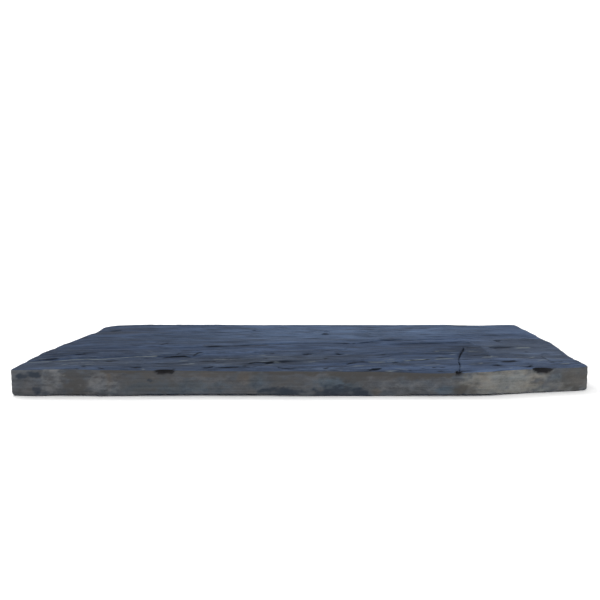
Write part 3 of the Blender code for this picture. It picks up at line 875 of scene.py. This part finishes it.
# %% The underside's lattice
COARSE_X, COARSE_Y = 4, 2  # the top's cells in one cell of the underside
lattice = coons_patch(*four_sides(foot_ring))[COARSE_Y:DEEP:COARSE_Y, COARSE_X:ACROSS:COARSE_X]
inner = len(top) + len(wall) + np.arange(lattice.shape[0] * lattice.shape[1]).reshape(lattice.shape[:2])
lattice = lattice.reshape(-1, 2)
under = np.column_stack([lattice, under_height(lattice)])
points = np.vstack([pressed_in(np.vstack([top, wall])), under])
print("the slab has", len(points), "points")


# %% Faces, all of them turned outwards
def quads(near, far):
    """Four-cornered faces between two rows of points: along the near row, then back along the far one."""
    return np.column_stack([near[:-1], near[1:], far[1:], far[:-1]])


def side_cells(edge, inside, step):
    """Cells along a side of the underside: two lattice points, and every ring point across from them."""
    across_from = np.arange(1, len(inside))[:, None] * step + np.arange(step, -1, -1)
    return np.column_stack([inside[:-1], inside[1:], edge[across_from]])


faces = np.vstack([quads(near, far) for near, far in zip(grid, grid[1:])]).tolist()
closed_loops = np.column_stack([loops, loops[:, :1]])
faces += np.vstack([quads(below, above) for above, below in zip(closed_loops, closed_loops[1:])]).tolist()
faces += np.vstack([quads(near, far)[:, ::-1] for near, far in zip(inner, inner[1:])]).tolist()

edges = [side.ravel() for side in four_sides(loops[-1][:, None])]
insides = (inner[0], inner[:, -1], inner[-1, ::-1], inner[::-1, 0])
for turn, (edge, inside) in enumerate(zip(edges, insides)):
    step, next_step = (COARSE_X, COARSE_Y) if turn % 2 == 0 else (COARSE_Y, COARSE_X)
    faces += side_cells(edge, inside, step).tolist()
    corner = np.concatenate([inside[-1:], edges[(turn + 1) % 4][next_step::-1], edge[-2:-step - 2:-1]])
    faces.append(corner.tolist())
print("the slab has", len(faces), "faces")

# %% [markdown]
# ## Tints of the sides
#
# The cut sides show the layers end on. They are greyer and warmer than the riven face, with dark patches,
# most of them low down, a brown band of weathering under the arris, and a pale fawn stretch to the right of
# the crack. The dark patch at the foot 334 mm round is painted shadow. A patch is placed by how far round
# the slab it is from the front left corner, and by its height.
# The back and the ends get patches of the same kinds from noise alone.

# %% Patches of the sides
SIDE_PATCHES = {  # for each kind: strength; in millimetres: way round and height, half length, half height
    # dark patches; the wide one at the foot, 334 mm round, is painted shadow
    "dark_patch": in_metres((
        (0.95, (12, 20.5), 8.5, 4), (0.95, (25, 22.5), 7.8, 4.6), (0.4, (10, 13), 7.5, 5),
        (0.7, (26.5, 6.5), 5.5, 6), (0.6, (36, 3), 5, 3.5), (0.6, (143, 16.5), 4, 2),
        (0.85, (278, 2), 30, 8.5), (0.8, (334, 0), 30, 14), (0.9, (356, 1.5), 17, 7.5),
        (1.0, (464, 1.5), 2.5, 2),
    )),
    "pale": in_metres((
        (0.9, (44, 27), 5.5, 2), (0.66, (42, 13), 12, 20), (0.4, (54.5, 26.5), 5, 1.4),
        (0.62, (93, 10), 19, 15), (0.28, (108, 13), 7, 9), (0.3, (417, 13), 40, 9),
        (0.42, (405, 8), 30, 10),
    )),
    "brown": in_metres((
        (0.7, (66, 14), 17, 20), (0.55, (150, 22.5), 50, 6), (0.48, (145, 12), 42, 16),
        (0.5, (230, 23.5), 80, 5), (0.5, (280, 15), 25, 7), (0.75, (350, 19), 20, 8),
        (0.6, (345, 7), 6, 8), (0.6, (390, 23.2), 90, 6.5), (1.1, (120, 26.2), 30, 3.2),
        (0.8, (205, 25.8), 50, 2), (1.1, (280, 25.5), 42, 3.4), (1.1, (355, 25), 50, 5),
        (1.1, (425, 23.5), 38, 5), (0.85, (461, 7), 10, 6), (0.62, (473, 6), 6, 6),
        (0.62, (588, 15), 22, 18),
    )),
    "fawn": in_metres((
        (1.0, (506, 13), 50, 20), (1.15, (524, 6), 30, 9), (0.5, (584, 7), 32, 20),
    )),
    "blue": in_metres((
        (0.6, (160, 8), 60, 9), (0.5, (252, 17), 9, 11), (0.9, (335, 12), 22, 11), (0.4, (352, 16), 12, 7),
        (0.7, (448, 6), 12, 6), (0.4, (568, 15), 11, 6),
    )),
    "rust": in_metres((
        (0.5, (101, 17), 3.5, 11), (0.5, (239, 20), 7, 7), (0.35, (195, 22.5), 22, 3),
        (0.65, (373, 4.5), 6, 5), (0.5, (549, 12), 4, 4),
    )),
}
FRONT_LENGTH = around[ACROSS]
RAGGED_RIM = ((0.50, 0.011, 0.0050, 55), (0.32, 0.004, 0.0026, 56))
OVAL_CORE, OVAL_FADE = 0.45, 0.8  # shares of a patch's radius: where it starts to fade, and over how much
ELSEWHERE = {  # for each kind: strength, value of its noise where it starts, and seed
    "dark_patch": (0.8, 0.35, 51), "brown": (0.7, 0.25, 52), "fawn": (0.7, 0.35, 53), "blue": (0.6, 0.20, 54)
}
ELSEWHERE_LENGTH, ELSEWHERE_HEIGHT = 0.075, 0.022
ELSEWHERE_FADE = 0.35  # by how much the noise has to rise from there for the full strength


def side_tint(way, level, kind):
    """How strongly a kind shows on the sides: ragged ovals in front, noise above a threshold elsewhere."""
    ragged = layered(way, level, RAGGED_RIM)
    tint = np.zeros(len(way))
    for strength, middle, half_length, half_height in SIDE_PATCHES[kind]:
        away = np.hypot((way - middle[0]) / half_length, (level - middle[1]) / half_height) + ragged
        tint = np.maximum(tint, strength * (1.0 - smooth((away - OVAL_CORE) / OVAL_FADE)))
    if kind in ELSEWHERE:
        strength, start, seed = ELSEWHERE[kind]
        field = noise(way / ELSEWHERE_LENGTH, level / ELSEWHERE_HEIGHT, seed) + ragged
        tint = np.maximum(tint, (way > FRONT_LENGTH) * strength * smooth((field - start) / ELSEWHERE_FADE))
    return tint


patch_count = sum(len(patches) for patches in SIDE_PATCHES.values())
print(patch_count, "patches on the front side, which is", round(1000 * FRONT_LENGTH), "mm long")

# %% [markdown]
# ## Colours and shares for each point
#
# The palette holds the stone's colours as linear red, green and blue. Each point starts as riven face or
# cut side, and its broad tints are laid over that one after another, as washes of paint would be. What has
# ragged edges instead stays a share of each point for the material to work with: the painted shade and the
# dark patches, the pale marks and the brown ones.

# %% Palette and washes
PALETTE = {
    "face": (0.0355, 0.0525, 0.0925),
    # painted sheen: the lighter, bluer colour that the top is washed towards at its back
    "back": (0.047, 0.069, 0.115),
    "grey": (0.042, 0.052, 0.071),
    "cut": (0.070, 0.075, 0.084),
    "fawn": (0.150, 0.152, 0.147),
    "blue": (0.058, 0.076, 0.096),
    "rust": (0.088, 0.077, 0.066),
    # painted shade: the near black that the chips' hollows are washed towards
    "dark": (0.014, 0.014, 0.016),
}


def washed(colour, tint, name):
    """A colour mixed with one of the palette's by the tint."""
    return colour + tint[:, None] * (np.array(PALETTE[name]) - colour)


torn_plan, nearly_torn_plan = strayed(plan), strayed(plan, MARK_STRAY)
face_colour = np.tile(PALETTE["face"], (len(top), 1))
for kind in PATCHES:
    face_colour = washed(face_colour, patch_tint(torn_plan, kind), kind)
face_colour = face_colour * sheet_tone(torn_plan, torn_level(plan))[:, None]

way, level = np.tile(around, len(rows)), wall[:, 2]
side_colour = np.tile(PALETTE["cut"], (len(wall), 1))
for kind in ("fawn", "blue", "rust"):
    side_colour = washed(side_colour, side_tint(way, level, kind), kind)

colour = np.vstack([face_colour, side_colour, np.tile(PALETTE["face"], (len(under), 1))])
# painted shade: points inside a chip's hollow are washed near black
past_skin = np.min([lens_share(points, *chip) for chip in CHIPS], axis=0) - CHIP_SKIN
chipped = 1.0 - smooth(past_skin / CHIP_FADE)
colour = washed(colour, chipped, "dark")
print("mean colour of the top", np.round(face_colour.mean(axis=0), 3))

# %% Shares of dark, pale and brown
TORN_SHADE, TORN_PALE = 0.62, 0.48  # how strong the painted shade on the torn edges of the terraces is, and how pale they are

torn_shade_and_pale = torn_edge_shade_and_pale(plan)
painted_face_shade = line_tint(nearly_torn_plan, SHADE_MARKS, SHADE_WIDTH, SHADE_HALO)
# painted shade: the scars and the crack are painted dark inside
painted_face_shade = np.maximum(painted_face_shade, gap_shade(plan, torn_plan))
face_pale = line_tint(nearly_torn_plan, PALE_MARKS, PALE_WIDTH)
face_shares = {
    "shade_and_dark_share": np.maximum(painted_face_shade, TORN_SHADE * torn_shade_and_pale),
    "pale_share": np.maximum(face_pale, -TORN_PALE * torn_shade_and_pale),
    "brown_share": line_tint(torn_plan, BROWN_MARKS, BROWN_WIDTH),
}
side_kinds = {"shade_and_dark_share": "dark_patch", "pale_share": "pale", "brown_share": "brown"}
shares = {
    name: np.concatenate([face_share, side_tint(way, level, side_kinds[name]), np.zeros(len(under))])
    for name, face_share in face_shares.items()
}
for name in ("pale_share", "brown_share"):
    shares[name] = shares[name] * (1.0 - chipped)
shares["cut_side"] = np.concatenate([np.zeros(len(top)), np.ones(len(wall)), np.zeros(len(under))])
print("mean shares", {name: round(float(share.mean()), 3) for name, share in shares.items()})

# %% [markdown]
# ## The mesh
#
# The arrays go into the mesh as they are. Faces are shaded smooth, because the relief is in the points,
# and the colour and the shares go along as attributes of the points.

# %% Make the slab
mesh = bpy.data.meshes.new("riven_slab")
mesh.from_pydata(points.tolist(), [], faces)
mesh.shade_smooth()
for name, share in shares.items():
    stored = mesh.attributes.new(name, "FLOAT", "POINT")
    stored.data.foreach_set("value", share.astype(np.float32))
stored = mesh.attributes.new("stone_colour", "FLOAT_COLOR", "POINT")
stored.data.foreach_set("color", np.column_stack([colour, np.ones(len(colour))]).ravel().astype(np.float32))
slab = bpy.data.objects.new("riven_slab", mesh)
bpy.context.scene.collection.objects.link(slab)
print("triangles", sum(len(face) - 2 for face in faces))

# %% [markdown]
# ## Slate as a material
#
# The riven face is a little smoother than the cut sides, and neither mirrors much. Streaks of a noise
# stretched along the grain darken and lighten the face, and flat bands of another cross the sides where
# the layers end. Bump adds what is finer than the mesh: ribbing along the grain, and the crystal's
# roughness everywhere.

# %% Helpers for the slate's nodes
slate = bpy.data.materials.new("slate")
slate.use_nodes = True
tree = slate.node_tree
shader = tree.nodes["Principled BSDF"]


def add(kind, sockets=None, **settings):
    """A node of a kind with its settings made, and its sockets set to values or linked to outputs."""
    made = tree.nodes.new("ShaderNode" + kind)
    for name, value in settings.items():
        setattr(made, name, value)
    for name, value in (sockets or {}).items():
        if isinstance(value, bpy.types.NodeSocket):
            tree.links.new(value, made.inputs[name])
        else:
            made.inputs[name].default_value = value
    return made


def between(value, low, high, sockets, **settings):
    """A value mapped from one range onto another, and held inside it."""
    sockets = {"Value": value, "From Min": low, "From Max": high, **sockets}
    return add("MapRange", sockets, **settings).outputs[0]


def streaks(scale, detail, roughness=0.55, turned=True):
    """Noise from -1 to 1, stretched by a scale for each axis, and along the grain if it is turned."""
    turn = (0.0, 0.0, -GRAIN_ANGLE if turned else 0.0)
    place = add("Mapping", {"Vector": place_in_slab, "Rotation": turn, "Scale": scale}).outputs[0]
    field = add("TexNoise", {"Vector": place, "Scale": 1.0, "Detail": detail, "Roughness": roughness})
    return between(field.outputs["Fac"], 0.25, 0.75, {"To Min": -1.0, "To Max": 1.0})


def times(value, factor, plus=0.0):
    """A value times a factor, plus a number or another value."""
    return add("Math", {0: value, 1: factor, 2: plus}, operation="MULTIPLY_ADD").outputs[0]


def blend(share, one, other):
    """One value where the share is 0, and the other where it is 1."""
    return add("Mix", {0: share, 2: one, 3: other}).outputs[0]


def mixed(share, one, other):
    """One colour where the share is 0, and the other where it is 1."""
    return add("Mix", {0: share, 6: one, 7: other}, data_type="RGBA").outputs[2]


place_in_slab = add("TexCoord").outputs["Object"]
cut_share = add("Attribute", attribute_name="cut_side").outputs["Fac"]
stone_colour = add("Attribute", attribute_name="stone_colour").outputs["Color"]
print("coordinates and attributes ready")

# %% Colour: streaks on the face, layers and blotches on the sides, speckle on both
LONG_SHARE, FINE_SHARE = 0.60, 0.42  # how much the streaks darken and lighten the face
LAYER_SHARE, BLOTCH_SHARE, SPECKLE_SHARE = 0.20, 0.38, 0.07
COOL_HUE, WARM_HUE = (0.92, 1.0, 1.08, 1.0), (1.10, 1.0, 0.90, 1.0)

long_streaks = streaks((10.0, 36.0, 36.0), 7.0, 0.66)
fine_streaks = streaks((36.0, 125.0, 110.0), 5.0, 0.66)
layer_ends = streaks((12.0, 12.0, 420.0), 4.0, 0.6, turned=False)
blotches = streaks((60.0, 60.0, 110.0), 5.0, 0.66, turned=False)
speckle = streaks((900.0, 900.0, 900.0), 2.0, turned=False)

face_shade = times(long_streaks, LONG_SHARE, times(fine_streaks, FINE_SHARE, 1.0))
side_shade = times(layer_ends, LAYER_SHARE, times(blotches, BLOTCH_SHARE, 1.0))
shade = times(speckle, SPECKLE_SHARE, blend(cut_share, face_shade, side_shade))
shaded = add("VectorMath", {0: stone_colour, 3: shade}, operation="SCALE").outputs[0]
warmth = times(streaks((50.0, 50.0, 90.0), 4.0, 0.6, turned=False), 0.5, 0.5)
hue = mixed(cut_share, (1.0, 1.0, 1.0, 1.0), mixed(warmth, COOL_HUE, WARM_HUE))
shaded = add("VectorMath", {0: shaded, 1: hue}, operation="MULTIPLY").outputs[0]
print("shading made of", len(tree.nodes), "nodes")

# %% Colour: the marks, made ragged
FACE_BROWN, SIDE_BROWN = (0.027, 0.031, 0.040, 1.0), (0.054, 0.052, 0.050, 1.0)
FACE_PALE, SIDE_PALE = (0.125, 0.143, 0.150, 1.0), (0.135, 0.139, 0.145, 1.0)
# painted shade: on the face the dark share is painted near black as shade; on the sides it paints the dark
# patches
FACE_SHADE_COLOUR, SIDE_DARK = (0.006, 0.008, 0.012, 1.0), (0.027, 0.034, 0.046, 1.0)
FACE_THIN, FACE_LIGHT = (0.014, 0.018, 0.028, 1.0), (0.066, 0.094, 0.150, 1.0)
RAGGED_SHARE = 0.30  # how far noise moves the rim of a mark, as a share of its strength
SIDE_RAGGED = 1.5  # how many times further on the sides

raggedness = blend(cut_share, fine_streaks, times(blotches, SIDE_RAGGED))


def ragged_mask(name, low, high, most):
    """A stored share moved up and down by noise: 0 up to the low value, and the most from the high one."""
    stored_share = add("Attribute", attribute_name=name).outputs["Fac"]
    moved = times(raggedness, RAGGED_SHARE, stored_share)
    return between(moved, low, high, {"To Max": most}, interpolation_type="SMOOTHSTEP")


def noise_mask(field, low, high, most):
    """A mask from a noise: 0 up to the low value, and the most from the high one on."""
    return between(field, low, high, {"To Max": most})


iron = noise_mask(streaks((6.0, 30.0, 20.0), 4.0, 0.6), 0.1, 0.9, 0.50)
light = noise_mask(streaks((15.0, 62.0, 60.0), 6.0, 0.66), 0.25, 0.85, 0.55)
thin = noise_mask(streaks((22.0, 115.0, 100.0), 6.0, 0.66), 0.22, 0.75, 0.72)
marked = shaded
for mask, tint in ((iron, FACE_BROWN), (light, FACE_LIGHT), (thin, FACE_THIN)):
    marked = mixed(mask, marked, tint)
marked = mixed(cut_share, marked, shaded)
for name, on_face, on_side, low, high, most in (
    ("brown_share", FACE_BROWN, SIDE_BROWN, 0.10, 0.95, 0.85),
    ("pale_share", FACE_PALE, SIDE_PALE, 0.20, 1.10, 0.95),
    ("shade_and_dark_share", FACE_SHADE_COLOUR, SIDE_DARK, 0.16, 0.95, 0.95),
):
    marked = mixed(ragged_mask(name, low, high, most), marked, mixed(cut_share, on_face, on_side))
tree.links.new(marked, shader.inputs["Base Color"])
print("colour nodes", len(tree.nodes))

# %% Gloss and bump
FACE_ROUGHNESS, SIDE_ROUGHNESS = 0.75, 0.9
LONG_GLOSS, FINE_GLOSS = 0.08, 0.05  # how much the streaks change the face's roughness
GLINT = 0.02  # specular level: slate hardly mirrors
RIB_BUMP, GRIT_BUMP = 0.00025, 0.00012  # heights in metres

face_gloss = times(long_streaks, LONG_GLOSS, times(fine_streaks, FINE_GLOSS, FACE_ROUGHNESS))
tree.links.new(blend(cut_share, face_gloss, SIDE_ROUGHNESS), shader.inputs["Roughness"])
shader.inputs["Specular IOR Level"].default_value = GLINT

ribbing = streaks((60.0, 520.0, 520.0), 4.0, 0.6)
layering = streaks((40.0, 40.0, 700.0), 3.0, 0.6, turned=False)
grit = streaks((700.0, 700.0, 700.0), 3.0, 0.6, turned=False)
rib_height = times(blend(cut_share, ribbing, layering), RIB_BUMP)
bumps = add("Bump", {"Height": times(grit, GRIT_BUMP, rib_height), "Distance": 1.0, "Strength": 0.6})
tree.links.new(bumps.outputs[0], shader.inputs["Normal"])
slab.data.materials.append(slate)
print("slate has", len(tree.nodes), "nodes")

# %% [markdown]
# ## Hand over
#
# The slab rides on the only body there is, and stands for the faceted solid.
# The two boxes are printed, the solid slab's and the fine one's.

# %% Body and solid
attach(slab, "root")
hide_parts("slate_slab")

boxes = {"cad": cad_bounds, "visual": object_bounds()}
boxes = {name: [list(corner) for corner in box] for name, box in boxes.items()}
print("boxes in mm", {name: np.round(1000 * np.array(box), 1).tolist() for name, box in boxes.items()})
